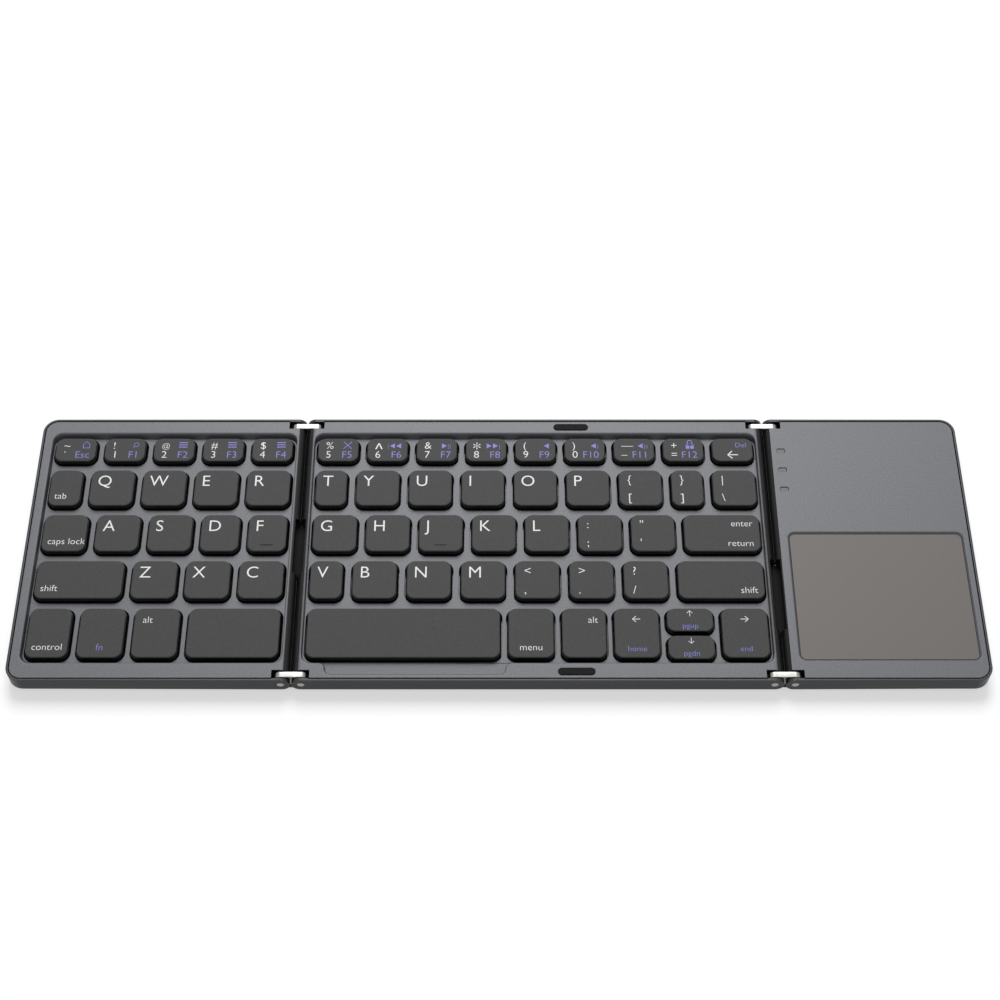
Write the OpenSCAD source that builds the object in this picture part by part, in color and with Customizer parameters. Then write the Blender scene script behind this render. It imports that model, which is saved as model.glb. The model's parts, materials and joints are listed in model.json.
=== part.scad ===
// Folding keyboard in three panels. The left panel carries keys, the right panel a touchpad, and both
// fold over the keys of the centre panel. Each fold has two parallel pins joined by metal links, so the
// folded panel lies flat on the centre one. Keys travel on scissor supports over rubber domes.
// X runs to the right, Y to the back and Z up. The origin is under the middle, on the table.

/* [Whole keyboard] */
// Width of the unfolded keyboard
total_w = 305; // [302:0.5:310]
// Depth from the front edge to the back edge
total_d = 98; // [97:0.5:102]
// Thickness of a panel without its feet
panel_t = 5.9; // [5.8:0.1:6.4]
// Radius of the four outer corners
outer_r = 5; // [4:0.5:8]
// Distance from the left end to the middle of the left hinge
left_w = 88.1; // [87:0.1:90]
// Gap between the tips of the two side panels when both are folded over
tip_gap = 0.6; // [0.4:0.1:1.2]

/* [Case] */
// Thickness of the floor of a bottom cover
floor_t = 0.9; // [0.8:0.05:1.0]
// Thickness of the lip that stands round the top frame
lip_t = 0.75; // [0.6:0.05:0.9]
// Groove between the lip and the top frame
groove_w = 0.28; // [0.1:0.01:0.35]
// Width of the ledge that the top frame sits on
ledge_w = 1.2; // [0.9:0.1:1.4]
// Thickness of the top plate over the touchpad side
plate_t = 1.2; // [1.0:0.1:1.3]

/* [Key well] */
// Depth of the well that the keys stand in
well_depth = 2.0; // [1.8:0.1:2.2]
// Radius of the corners of the well
well_r = 3; // [2:0.5:4]
// Rim between an outer end and the well
rim_end = 3.8; // [3.4:0.1:4.2]
// Rim between the front edge and the well
rim_front = 6.2; // [6:0.1:6.4]
// Rim between the back edge and the well
rim_back = 5.7; // [5.3:0.1:6]
// Distance from the middle of a hinge to the well
rim_hinge = 3.0; // [2.9:0.05:3.1]
// Distance from the left hinge to the thumb scoop in front of the space bar
scoop_from = 10.4; // [9.5:0.1:12]
// Width of the thumb scoop
scoop_w = 56; // [50:1:60]
// Distance from the front edge to the thumb scoop
scoop_front = 2.2; // [2:0.1:2.6]

/* [Keys] */
// Depth of the front row of keys
front_row_d = 17.4; // [17:0.1:17.8]
// Depth of a number key
number_d = 9.1; // [8.8:0.1:9.4]
// Gap between the key tops of neighbouring rows
row_gap = 3.62; // [3.4:0.01:3.8]
// Distance from the front edge to the tops of the first row
keys_front = 8.07; // [7.9:0.01:8.3]
// Distance from the back edge to the tops of the last row
keys_back = 7.7; // [7.5:0.1:7.9]
// Distance from the left end to the first key top
keys_left_end = 5.2; // [5.0:0.1:5.8]
// Distance from a left hinge side to the last key top of the left panel
keys_left_hinge = 4.3; // [4.1:0.05:4.4]
// Distance from the left hinge to the first key top of the centre panel
keys_centre_left = 4.3; // [4.2:0.1:4.6]
// Distance from the right hinge to the last key top of the centre panel
keys_centre_right = 4.2; // [4:0.05:4.3]
// Radius of the corners of a key top
cap_r = 2.6; // [2.2:0.1:2.8]
// How much wider a key is at its foot, on each side
cap_flare = 0.45; // [0.3:0.05:0.5]
// Thickness of the top of a key
cap_top = 0.9; // [0.8:0.1:1.1]
// Thickness of the skirt of a key at its foot
cap_wall = 1.0; // [0.9:0.1:1.2]
// Gap between a key and the edge of its hole
cap_gap = 0.35; // [0.25:0.05:0.4]
// How far a key goes down
key_travel = 1.2; // [1:0.1:1.3]
// Gap between the up and down arrow keys
arrow_gap = 1.6; // [1.4:0.1:2]
// Length of the raised bar on two of the letter keys
homing_len = 4; // [3:0.5:5]
// Distance from the front of a letter key to its raised bar
homing_front = 2.3; // [2:0.1:3]

/* [Hinges] */
// Gap between the two round edges of a hinge
fold_gap = 0.4; // [0.35:0.05:0.5]
// Radius of a hinge pin
pin_r = 0.8; // [0.7:0.05:0.9]
// Reach of a hinge pin from the front face inwards
pin_reach = 5.9; // [5.5:0.1:6]
// Radius of the head of a hinge pin
pin_head_r = 1.15; // [1.1:0.05:1.4]
// Thickness of the head of a hinge pin
pin_head_t = 0.35; // [0.3:0.05:0.5]
// Clearance between a hinge pin and a link
pin_play = 0.04; // [0.02:0.01:0.08]
// Radius of the round ends of a hinge link
link_r = 2.5; // [2.2:0.05:2.6]
// Thickness of a hinge link, front to back
link_t = 2.0; // [1.8:0.1:2.1]
// Distance from the front or back face to a hinge link
link_inset = 1.45; // [1.35:0.05:1.5]
// Thickness of the wall in front of a hinge link
cheek_t = 1.0; // [0.9:0.05:1.1]
// Clearance between a link and the walls of its pocket
link_room = 0.15; // [0.1:0.05:0.2]
// Distance from the front edge to the cable sleeve in the left hinge
left_sleeve_from = 38.8; // [36:0.1:40]
// Length of the cable sleeve in the left hinge
left_sleeve_len = 20.2; // [17:0.1:22]
// Distance from the front edge to the cable sleeve in the right hinge
right_sleeve_from = 18.35; // [17:0.05:21]
// Length of the cable sleeve in the right hinge
right_sleeve_len = 25.45; // [23:0.05:27]
// Radius that the cable bends round in a folded hinge
core_r = 1.05; // [1:0.05:1.2]

/* [Touchpad side] */
// Depth of the touchpad
pad_d = 45.5; // [44:0.5:48]
// Distance from the flat part's hinge end to the touchpad
pad_left = 2.15; // [2:0.05:3]
// Distance from the right end to the touchpad
pad_right = 3.3; // [3.2:0.1:3.6]
// Distance from the front edge to the touchpad
pad_front = 7.6; // [7:0.1:9]
// Radius of the corners of the touchpad
pad_r = 1.9; // [1:0.1:3]
// How far the touchpad lies below the plate
pad_drop = 0.5; // [0.3:0.1:0.6]
// Width of an indicator window
lens_w = 2.7; // [2.4:0.1:3]
// Depth of an indicator window
lens_d = 1.7; // [1.5:0.1:2]
// Distance from the right hinge to the indicator windows
lens_x = 5.2; // [4.6:0.1:6]
// Distance from the back edge to the last indicator window
lens_back = 12.7; // [12:0.1:14]
// Distance between neighbouring indicator windows
lens_pitch = 7.55; // [7:0.05:8]
// Thickness of the battery
battery_t = 3.2; // [2.8:0.1:3.2]

/* [Inside and underneath] */
// Thickness of a key board
board_t = 0.5; // [0.4:0.05:0.5]
// Thickness of the flat cables
cable_t = 0.12; // [0.1:0.01:0.15]
// Height of the feet under the panels
foot_h = 0.6; // [0.4:0.1:1]
// Radius of the feet
foot_r = 4; // [3:0.5:5]
// Depth of the seat of a foot
foot_seat = 0.3; // [0.2:0.1:0.4]
// Distance from a foot's middle to the front or back edge
foot_inset = 11; // [9:0.5:14]
// Radius of the head of a case screw
screw_head_r = 1.2; // [1.1:0.05:1.3]
// Thickness of the head of a case screw
screw_head_t = 0.45; // [0.4:0.05:0.5]
// Radius of the shank of a case screw
screw_r = 0.45; // [0.4:0.05:0.5]
// Radius of the posts that the case screws go into
post_r = 1.0; // [0.9:0.05:1.05]
// Length of a bumper pad
bumper_len = 11.4; // [9:0.2:14]
// Width of a bumper pad
bumper_w = 2.4; // [2:0.1:2.6]
// How far a bumper pad and a homing bar stand up
bumper_up = 0.3; // [0.2:0.05:0.35]

/* [Hidden] */
$fn = 48;
// Widths of the key tops, from left to right in rows from front to back. All keys of a row grow or
// shrink alike until they fill its length, less the gaps between them.
left_rows = [
    [13.1, 14.1, 14.1, 28.7],
    [27.6, 14.1, 14.1, 14.1],
    [14, 14, 14, 12.3, 12.3],
    [10.2, 14.1, 14.1, 14.1, 14.1],
    [13.3, 13.3, 13.3, 13.3, 13.3],
];
centre_rows = [
    [60.3, 14.1, 13.7, 13.9, 14.4, 14.4],
    [10.2, 13.95, 13.95, 13.95, 13.95, 13.95, 13.95, 27.2],
    [14, 14, 14, 14, 14, 14, 14, 24.3],
    [10, 13.9, 13.9, 13.9, 13.9, 13.9, 13.9, 10.2, 14],
    [13.3, 13.3, 13.3, 13.3, 13.3, 13.3, 13.3, 13.3, 13.3],
];
left_gaps = [2.87, 2.9, 3, 3, 3.03];
centre_gaps = [2.66, 3.3, 3.1, 3.3, 3.05];
// The three rows of letters share the depth that is left
letter_d = (total_d - keys_front - keys_back - front_row_d - number_d - 4 * row_gap) / 3;
row_depths = [front_row_d, letter_d, letter_d, letter_d, number_d];
// Column of the front row that the up and down arrows share
arrow_column = 4;

front = -total_d / 2;
back = total_d / 2;
mid_z = panel_t / 2;
web_top = panel_t - well_depth;
edge_r = panel_t / 2;
pin_gap = panel_t + fold_gap;
left_hinge = -total_w / 2 + left_w;
right_hinge = left_hinge + (total_w + tip_gap) / 2;
tip_x = (2 * left_hinge + 2 * right_hinge) / 2;
fit = 0.02;
link_side_play = 0.25;
notch_d = link_inset + link_t + link_side_play;
notch_r = link_r + link_room;
board_top = floor_t + board_t;
// A key at rest clears the board by its travel and some room
press_room = 0.4;
skirt_z = board_top + key_travel + press_room;
cap_h = panel_t - skirt_z;
cap_roof = panel_t - cap_top;
homing_up = min(0.2, bumper_up);
homing_w = 0.5;

// The slit that the cable sleeve fills
sleeve_end_play = 0.1;
sleeve_in = 1;
sleeve_top = mid_z - core_r - 0.15;
sleeve_bottom = 0.1;
slit_edge = 1.45;
cable_in = 2;
cable_margin = 1.5;

// A panel is the left and right end of its flat part, then the span of the cable sleeve in the hinge
// at its left and at its right end. A span of 0 marks an outer end.
left_sleeve = [front + left_sleeve_from, front + left_sleeve_from + left_sleeve_len];
right_sleeve = [front + right_sleeve_from, front + right_sleeve_from + right_sleeve_len];
left_panel = [-total_w / 2, left_hinge - pin_gap / 2, 0, left_sleeve];
centre_panel = [left_hinge + pin_gap / 2, right_hinge - pin_gap / 2, left_sleeve, right_sleeve];
right_panel = [right_hinge + pin_gap / 2, total_w / 2, right_sleeve, 0];

// The well of a panel as its left, right, front and back edges
left_well = [-total_w / 2 + rim_end, left_hinge - rim_hinge, front + rim_front, back - rim_back];
centre_well = [left_hinge + rim_hinge, right_hinge - rim_hinge, front + rim_front, back - rim_back];

// A block of keys is the row widths and gaps, then the left and right limits of the key tops
left_keys = [left_rows, left_gaps, -total_w / 2 + keys_left_end, left_hinge - keys_left_hinge];
centre_keys = [centre_rows, centre_gaps, left_hinge + keys_centre_left, right_hinge - keys_centre_right];

pad_x1 = total_w / 2 - pad_right;
pad_x0 = right_panel[0] + pad_left;
pad_y0 = front + pad_front;
pad_y1 = pad_y0 + pad_d;
pad_play = 0.15;
pad_board_over = 0.8;
pad_board_r = 3;
pad_board_t = 0.8;
pad_seat = panel_t - plate_t - 0.05;
roll_cover = 1.2;

socket_w = 7.5;
socket_h = 2.6;
socket_len = 5.2;
socket_wall = 0.3;
socket_play = 0.15;
socket_back = 0.1;
socket_tongue_t = 0.6;
// The main board runs along the hinge and along the back, round the battery
board_arm_w = 7;
board_arm_d = 9.5;
inner_wall = lip_t + groove_w + ledge_w;
main_board_x0 = right_panel[0] + sleeve_in + 0.3;
main_board_y1 = back - inner_wall - 0.3;
hinge_arm_y1 = back - rim_front - 0.3;
socket_from_arm = 8;
socket_x = main_board_x0 + board_arm_w + socket_from_arm;
battery_room = 1;
battery_wall_room = 3;
battery_x0 = main_board_x0 + board_arm_w + battery_room;
battery_x1 = right_panel[1] - inner_wall - battery_wall_room;
battery_y0 = pad_y1 + battery_wall_room;
battery_y1 = main_board_y1 - board_arm_d - battery_room;

// Places of screws and feet, measured from the ends of a panel's flat part and from the edges
key_screw_inset = 12;
pad_screw_inset = 6;
pad_screw_front = 3.2;
pad_screw_back = 5;
socket_screw_gap = 16;
end_foot_inset = 14;
centre_foot_inset = 20;

// Scissor supports and rubber domes. A key wider than wide_key has two supports.
wide_key = 20;
support_max_w = 10;
support_max_d = 8;
support_edge = 2.6;
support_bar = 0.6;
support_t = 0.4;
support_room = 0.3;
dome_max_r = 2.6;
dome_wall = 0.4;
dome_rim = 0.5;
dome_rim_t = 0.3;
dome_roof = 0.6;
dome_taper = 0.55;
dome_gap = 0.1;
dome_play = 0.15;

// Chips on the touchpad board and the main board, and the lights under the indicator windows
pad_chip = 6;
pad_chip_t = 0.8;
main_chip = 5;
main_chip_t = 0.9;
main_chip_edge = 0.5;
light_w = 1.6;
light_d = 1;
light_t = 0.6;
lens_room = 0.05;
lens_drop = 0.25;
sunk = 0.1;

case_color = "#6f7074";
cap_color = "#4a4a4b";
rubber_color = "#161617";
steel_color = "#c9c9c7";
board_color = "#2f5a3c";

// Sum of the first n numbers of a list
function sum_of(list, n) = n <= 0 ? 0 : list[n - 1] + sum_of(list, n - 1);

function has_hinge(sleeve) = is_list(sleeve);

function row_front(row) = front + keys_front + sum_of(row_depths, row) + row * row_gap;
function row_back(row) = row_front(row) + row_depths[row];

// How much the keys of a row grow or shrink to fill it
function growth(block, row) =
    let (count = len(block[0][row]))
    (block[3] - block[2] - (count - 1) * block[1][row]) / sum_of(block[0][row], count);

// Rounds a length to a hundredth of a millimetre
function neat(length) = round(length * 100) / 100;

// The key tops of a row as [left, right, front, back], one for each width in the row
function key_left(block, row, n) =
    neat(block[2] + growth(block, row) * sum_of(block[0][row], n) + n * block[1][row]);
function key_top(block, row, n) = [
    key_left(block, row, n), neat(key_left(block, row, n) + growth(block, row) * block[0][row][n]),
    row_front(row), row_back(row),
];

// The up and down arrows share one place of the front row, the down arrow a little to the front
arrow_place = key_top(centre_keys, 0, arrow_column);
arrow_forward = 0.4;
arrow_front = arrow_place[2] - arrow_forward;
arrow_d = (arrow_place[3] - arrow_front - arrow_gap) / 2;
arrow_up_top = [arrow_place[0], arrow_place[1], arrow_place[3] - arrow_d, arrow_place[3]];
arrow_down_top = [arrow_place[0], arrow_place[1], arrow_front, arrow_front + arrow_d];

// All the key tops of a block, with the arrow place split in two
function is_arrow_place(block, row, n) = block == centre_keys && row == 0 && n == arrow_column;
function tops_of(block) = [
    for (row = [0:4])
        for (n = [0:len(block[0][row]) - 1])
            each is_arrow_place(block, row, n) ? [arrow_up_top, arrow_down_top] : [key_top(block, row, n)],
];

function screw_rows() = [(row_back(0) + row_front(1)) / 2, (row_back(3) + row_front(4)) / 2];
left_screw_places = [
    for (x = [left_panel[0] + key_screw_inset, left_panel[1] - key_screw_inset])
        for (y = screw_rows()) [x, y],
];
centre_screw_places = [
    for (x = [centre_panel[0] + key_screw_inset, tip_x, centre_panel[1] - key_screw_inset])
        for (y = screw_rows()) [x, y],
];
right_screw_places = [
    for (x = [right_panel[0] + pad_screw_inset, right_panel[1] - pad_screw_inset])
        [x, pad_y0 - pad_screw_front],
    for (x = [socket_x + socket_screw_gap, right_panel[1] - pad_screw_inset]) [x, back - pad_screw_back],
];
foot_rows = [front + foot_inset, back - foot_inset];
left_foot_places = [for (y = foot_rows) [left_panel[0] + end_foot_inset, y]];
right_foot_places = [for (y = foot_rows) [right_panel[1] - end_foot_inset, y]];
centre_foot_places = [
    for (x = [centre_panel[0] + centre_foot_inset, centre_panel[1] - centre_foot_inset])
        for (y = foot_rows) [x, y],
];

// Rectangle whose two left corners and two right corners are rounded, 0 for a square corner
module rounded_plan(x0, x1, y0, y1, left_r, right_r) {
    translate([x0 + left_r, y0]) square([x1 - x0 - left_r - right_r, y1 - y0]);
    for (end = [[x0 + left_r, left_r], [x1 - right_r, right_r]])
        if (end[1] > 0) {
            translate([end[0] - end[1], y0 + end[1]]) square([2 * end[1], y1 - y0 - 2 * end[1]]);
            for (y = [y0 + end[1], y1 - end[1]]) translate([end[0], y]) circle(end[1]);
        }
}

module even_plan(edges, grow, r) {
    rounded_plan(edges[0] - grow, edges[1] + grow, edges[2] - grow, edges[3] + grow, r, r);
}

// Extrudes a profile drawn in X and Z from y0 to y1
module along_y(y0, y1) {
    translate([0, y1, 0]) rotate([90, 0, 0]) linear_extrude(y1 - y0) children();
}

// Extrudes a profile drawn in Y and Z from x0 to x1
module along_x(x0, x1) {
    translate([x0, 0, 0]) rotate([90, 0, 90]) linear_extrude(x1 - x0) children();
}

// Lifts a panel on to its feet
module on_feet() {
    translate([0, 0, foot_h]) children();
}

// Plan of a panel, drawn in by inset at its outer edges and run past its hinge ends
module panel_plan(panel, inset, past) {
    left_hinged = has_hinge(panel[2]);
    right_hinged = has_hinge(panel[3]);
    rounded_plan(
        panel[0] + (left_hinged ? -past : inset), panel[1] - (right_hinged ? -past : inset),
        front + inset, back - inset,
        left_hinged ? 0 : outer_r - inset, right_hinged ? 0 : outer_r - inset
    );
}

// Runs its children's code once for each hinge end of a panel, mirrored so that X runs out of the panel
// from the pin. The sleeve span of that hinge is passed on in $sleeve.
module at_hinge_ends(panel) {
    if (has_hinge(panel[2])) {
        $sleeve = panel[2];
        translate([panel[0], 0, 0]) mirror([1, 0, 0]) children();
    }
    if (has_hinge(panel[3])) {
        $sleeve = panel[3];
        translate([panel[1], 0, 0]) children();
    }
}

// The two ends of a hinge, as spans measured in from the front and the back face
module at_both_faces(from, to) {
    along_y(front + from, front + to) children();
    along_y(back - to, back - from) children();
}

// Room for the pocket of a link, open at the top and towards the hinge
module link_pockets() {
    at_both_faces(cheek_t, notch_d) {
        translate([0, mid_z]) circle(notch_r);
        translate([-notch_r, mid_z]) square([notch_r + edge_r + 1, edge_r + 1]);
        translate([0, mid_z - notch_r]) square([edge_r + 1, 2 * notch_r]);
    }
}

// The cheek walls of a hinge, which belong to the bottom cover
module cheek_room() {
    at_both_faces(-1, cheek_t) translate([-notch_r, 0]) square([notch_r + edge_r, panel_t + 1]);
}

// Seat of the pins in a panel, with the seat of their heads
module pin_seats() {
    at_both_faces(-1, pin_reach + fit) translate([0, mid_z]) circle(pin_r + fit);
    at_both_faces(-1, pin_head_t) translate([0, mid_z]) circle(pin_head_r + fit);
}

// Half of a panel's round hinge edge, above or below its pins, between the link pockets. The sleeve's
// span is left out.
module round_edge(upper) {
    for (span = [[front + notch_d, $sleeve[0]], [$sleeve[1], back - notch_d]])
        along_y(span[0], span[1]) intersection() {
            translate([0, mid_z]) circle(edge_r);
            translate([0, upper ? mid_z : 0]) square(edge_r);
        }
}

// What is left of the round edge over the cable sleeve, and the core that the cable bends round
module cable_core() {
    along_y($sleeve[0], $sleeve[1]) {
        intersection() {
            translate([0, mid_z]) circle(edge_r);
            translate([0, mid_z]) square([slit_edge, edge_r]);
        }
        intersection() {
            translate([0, mid_z]) circle(core_r);
            translate([0, mid_z - edge_r]) square(edge_r);
        }
    }
}

module post_holes(places) {
    for (at = places) translate([at[0], at[1], 0]) {
        translate([0, 0, -1]) cylinder(h = floor_t + 2, r = screw_r + 0.05);
        translate([0, 0, -1]) cylinder(h = screw_head_t + 1.05, r = screw_head_r + 0.1);
    }
}

module foot_seats(places) {
    for (at = places) translate([at[0], at[1], -1]) cylinder(h = foot_seat + 1, r = foot_r + 0.1);
}

// Bottom cover: a tray with a lip all round its outer edges, a ledge for the frame and half of each
// round hinge edge
module bottom_cover(panel, screws, feet) {
    boss_y = rim_front;
    difference() {
        union() {
            difference() {
                linear_extrude(panel_t) panel_plan(panel, 0, 0);
                translate([0, 0, mid_z]) linear_extrude(panel_t) panel_plan(panel, lip_t, 1);
                translate([0, 0, floor_t])
                    linear_extrude(panel_t) panel_plan(panel, inner_wall, 0);
            }
            at_hinge_ends(panel) {
                at_both_faces(0, cheek_t) {
                    translate([0, mid_z]) circle(edge_r);
                    translate([-notch_r, 0]) square([notch_r, panel_t]);
                }
                round_edge(false);
                at_both_faces(notch_d, boss_y) translate([-notch_r, 0]) square([notch_r, mid_z]);
            }
        }
        at_hinge_ends(panel) {
            link_pockets();
            pin_seats();
            along_y($sleeve[0] - sleeve_end_play, $sleeve[1] + sleeve_end_play)
                translate([-sleeve_in - sleeve_end_play, -1]) square([sleeve_in + edge_r, mid_z + 1]);
        }
        post_holes(screws);
        foot_seats(feet);
    }
}

module posts(places, top) {
    for (at = places) translate([at[0], at[1], floor_t]) cylinder(h = top - floor_t, r = post_r);
}

module thread_holes(places) {
    for (at = places) translate([at[0], at[1], 0]) cylinder(h = mid_z - 0.1, r = screw_r + fit);
}

// Top frame with a key well: the frame sits inside the lip of the bottom cover and holds a web with a
// hole for each key
module key_frame(panel, well, block, screws) {
    difference() {
        union() {
            translate([0, 0, mid_z])
                linear_extrude(panel_t - mid_z) panel_plan(panel, lip_t + groove_w, 0);
            at_hinge_ends(panel) {
                round_edge(true);
                cable_core();
            }
            posts(screws, mid_z);
        }
        translate([0, 0, web_top]) linear_extrude(panel_t) even_plan(well, 0, well_r);
        for (top = tops_of(block))
            translate([0, 0, mid_z - 1])
                linear_extrude(panel_t) even_plan(top, cap_flare + cap_gap, cap_r + cap_flare + cap_gap);
        at_hinge_ends(panel) {
            link_pockets();
            cheek_room();
            pin_seats();
        }
        thread_holes(screws);
    }
}

// Thumb scoop: the well runs forward in front of the space bar, with an S-curve at each end
module thumb_scoop() {
    scoop_left = left_hinge + scoop_from;
    scoop_right = scoop_left + scoop_w;
    scoop_y = front + scoop_front;
    well_y = front + rim_front;
    bend = (well_y - scoop_y) / 2;
    translate([0, 0, web_top]) linear_extrude(panel_t) {
        rounded_plan(scoop_left, scoop_right, scoop_y, well_y + bend, bend, bend);
        for (end = [[scoop_left, -1], [scoop_right, 1]]) translate([end[0], well_y]) difference() {
            translate([end[1] * bend / 2, -bend / 2]) square([bend, bend], center = true);
            translate([end[1] * bend, -bend]) circle(bend);
        }
    }
}

// Feet of a panel, each pressed into its seat
module feet(places) {
    color(rubber_color) for (at = places) translate([at[0], at[1], 0]) {
        cylinder(h = foot_h, r = foot_r);
        cylinder(h = foot_h + foot_seat, r = foot_r - 0.2);
    }
}

module screws(places) {
    color(steel_color) on_feet() for (at = places) translate([at[0], at[1], 0]) {
        translate([0, 0, 0.05]) difference() {
            cylinder(h = screw_head_t, r = screw_head_r);
            translate([-screw_head_r * 0.6, -0.12, -1]) cube([screw_head_r * 1.2, 0.24, 1.2]);
            translate([-0.12, -screw_head_r * 0.6, -1]) cube([0.24, screw_head_r * 1.2, 1.2]);
        }
        translate([0, 0, 0.2]) cylinder(h = mid_z - 0.5, r = screw_r);
    }
}

module hinge_pins(panel) {
    color(steel_color) on_feet() at_hinge_ends(panel) {
        at_both_faces(0.05, pin_reach) translate([0, mid_z]) circle(pin_r);
        at_both_faces(0.05, pin_head_t) translate([0, mid_z]) circle(pin_head_r);
    }
}

// Board under the keys, from wall to wall, with a hole for each screw post
module key_board(panel, screws) {
    wall = inner_wall + 0.3;
    hinge_room = sleeve_in + 0.3;
    color(board_color) on_feet() difference() {
        translate([0, 0, floor_t]) linear_extrude(board_t) rounded_plan(
            panel[0] + (has_hinge(panel[2]) ? hinge_room : wall),
            panel[1] - (has_hinge(panel[3]) ? hinge_room : wall),
            front + rim_front + 0.3, back - rim_front - 0.3, 1, 1
        );
        for (at = screws) translate([at[0], at[1], 0]) cylinder(h = mid_z, r = post_r + 0.15);
    }
}

// Wide keys have a support at each end with the dome between them, the others one support round the dome
function is_wide(top) = top[1] - top[0] > wide_key;

// Depth and width of the scissor support that fits under a key top
function support_d(top) = min(support_max_d, top[3] - top[2] - support_edge);
function support_w(top) =
    let (room = top[1] - top[0] - support_edge)
    min(support_max_w, is_wide(top) ? room / 2 - dome_max_r - dome_play : room);
function support_places(top) =
    let (middle = (top[0] + top[1]) / 2, out = (top[1] - top[0] - support_edge - support_w(top)) / 2)
    is_wide(top) ? [middle - out, middle + out] : [middle];

function inner_ring_w(top) = support_w(top) - 2 * support_bar - support_room;

// A ring of depth d is tilted until it reaches from the board to the underside of a key
function ring_tilt(d) = asin(min(0.9, (cap_roof - board_top - support_t - dome_gap) / d));

// Radius of the foot of a dome that stands clear of the rings under a key top
function dome_foot(top) =
    let (d = support_d(top), tilt = ring_tilt(d))
    is_wide(top) ? dome_max_r : min(
        dome_max_r, inner_ring_w(top) / 2 - support_bar - dome_play,
        (d / 2 - support_bar) * cos(tilt) - support_t / 2 * sin(tilt) - dome_play
    );

// A square ring of flat bar, tilted about X
module scissor_ring(w, d, lean) {
    rotate([lean * ring_tilt(d), 0, 0]) difference() {
        cube([w, d, support_t], center = true);
        cube([w - 2 * support_bar, d - 2 * support_bar, 2 * support_t], center = true);
    }
}

// Two rings that cross like scissors carry each key level. The inner ring fits inside the outer one.
module scissor_supports(block) {
    color("#d8d8d4") on_feet() for (top = tops_of(block)) for (x = support_places(top))
        translate([x, (top[2] + top[3]) / 2, (board_top + cap_roof) / 2]) {
            scissor_ring(support_w(top), support_d(top), 1);
            scissor_ring(inner_ring_w(top), support_d(top), -1);
        }
}

// Rubber domes: hollow cones that push each key back up
module rubber_domes(block) {
    h = cap_roof - board_top - dome_gap;
    color("#8f9092") on_feet() for (top = tops_of(block)) {
        foot = dome_foot(top);
        neck = foot * dome_taper;
        translate([(top[0] + top[1]) / 2, (top[2] + top[3]) / 2, board_top]) rotate_extrude()
            polygon([
                [foot - dome_rim, 0], [foot, 0], [foot, dome_rim_t], [neck, h], [0, h],
                [0, h - dome_roof], [neck - dome_wall, h - dome_roof],
            ]);
    }
}

// Solid with sloping sides whose top is the given rectangle and whose foot is wider by the flare
module tapered_block(edges, h, r, flare) {
    along_y(edges[2] + r, edges[3] - r)
        polygon([[edges[0] - flare, 0], [edges[1] + flare, 0], [edges[1], h], [edges[0], h]]);
    along_x(edges[0] + r, edges[1] - r)
        polygon([[edges[2] - flare, 0], [edges[3] + flare, 0], [edges[3], h], [edges[2], h]]);
    for (x = [edges[0] + r, edges[1] - r]) for (y = [edges[2] + r, edges[3] - r])
        translate([x, y, 0]) cylinder(h = h, r1 = r + flare, r2 = r);
}

// Key: a hollow cap with sloping sides, flush with the rim of the well at rest
module key_cap(top) {
    color(cap_color) on_feet() translate([0, 0, skirt_z]) difference() {
        tapered_block(top, cap_h, cap_r, cap_flare);
        translate([0, 0, -1])
            linear_extrude(cap_h - cap_top + 1) even_plan(top, cap_flare - cap_wall, cap_r - 0.5);
    }
}

module homing_bar(top) {
    x = (top[0] + top[1] - homing_len) / 2;
    color(cap_color) on_feet() translate([x, top[2] + homing_front, panel_t])
        cube([homing_len, homing_w, homing_up]);
}

// Keys first to last of one row
module key_run(block, row, first, last) {
    for (n = [first:last]) key_cap(key_top(block, row, n));
}

// The links of one hinge: a metal plate at the front and one at the back, each with two pin holes
module hinge_links(hinge) {
    color("#d9d9d6") on_feet() at_both_faces(link_inset, link_inset + link_t) difference() {
        union() {
            translate([hinge - pin_gap / 2, mid_z - link_r]) square([pin_gap, 2 * link_r]);
            for (side = [-1, 1]) translate([hinge + side * pin_gap / 2, mid_z]) circle(link_r);
        }
        for (side = [-1, 1]) translate([hinge + side * pin_gap / 2, mid_z]) circle(pin_r + pin_play);
    }
}

// Rubber sleeve that closes the slit of a hinge and guides the flat cable through it
module cable_sleeve(hinge, sleeve) {
    reach = pin_gap / 2 + sleeve_in;
    color(rubber_color) on_feet() difference() {
        along_y(sleeve[0] + sleeve_end_play, sleeve[1] - sleeve_end_play)
            translate([hinge - reach, sleeve_bottom]) square([2 * reach, sleeve_top - sleeve_bottom]);
        along_y(sleeve[0] + cable_margin - fit, sleeve[1] - cable_margin + fit)
            translate([hinge - reach - 1, board_top - fit]) square([2 * reach + 2, cable_t + 2 * fit]);
    }
}

// Flat cable from board to board through the sleeve
module flat_cable(hinge, sleeve) {
    reach = pin_gap / 2 + cable_in;
    color("#1d1d1f") on_feet() along_y(sleeve[0] + cable_margin, sleeve[1] - cable_margin)
        translate([hinge - reach, board_top]) square([2 * reach, cable_t]);
}

// Centre panel

module centre_top_frame() {
    color(case_color) on_feet() difference() {
        key_frame(centre_panel, centre_well, centre_keys, centre_screw_places);
        thumb_scoop();
        bumper_places() translate([0, 0, panel_t - bumper_up]) linear_extrude(1) bumper_plan(0.05);
    }
}

module centre_bottom_cover() {
    color(case_color) on_feet() bottom_cover(centre_panel, centre_screw_places, centre_foot_places);
}

module centre_key_board() {
    key_board(centre_panel, centre_screw_places);
}

module centre_rubber_domes() {
    rubber_domes(centre_keys);
}

module centre_scissor_supports() {
    scissor_supports(centre_keys);
}

module centre_feet() {
    feet(centre_foot_places);
}

module centre_screws() {
    screws(centre_screw_places);
}

module centre_hinge_pins() {
    hinge_pins(centre_panel);
}

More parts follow.
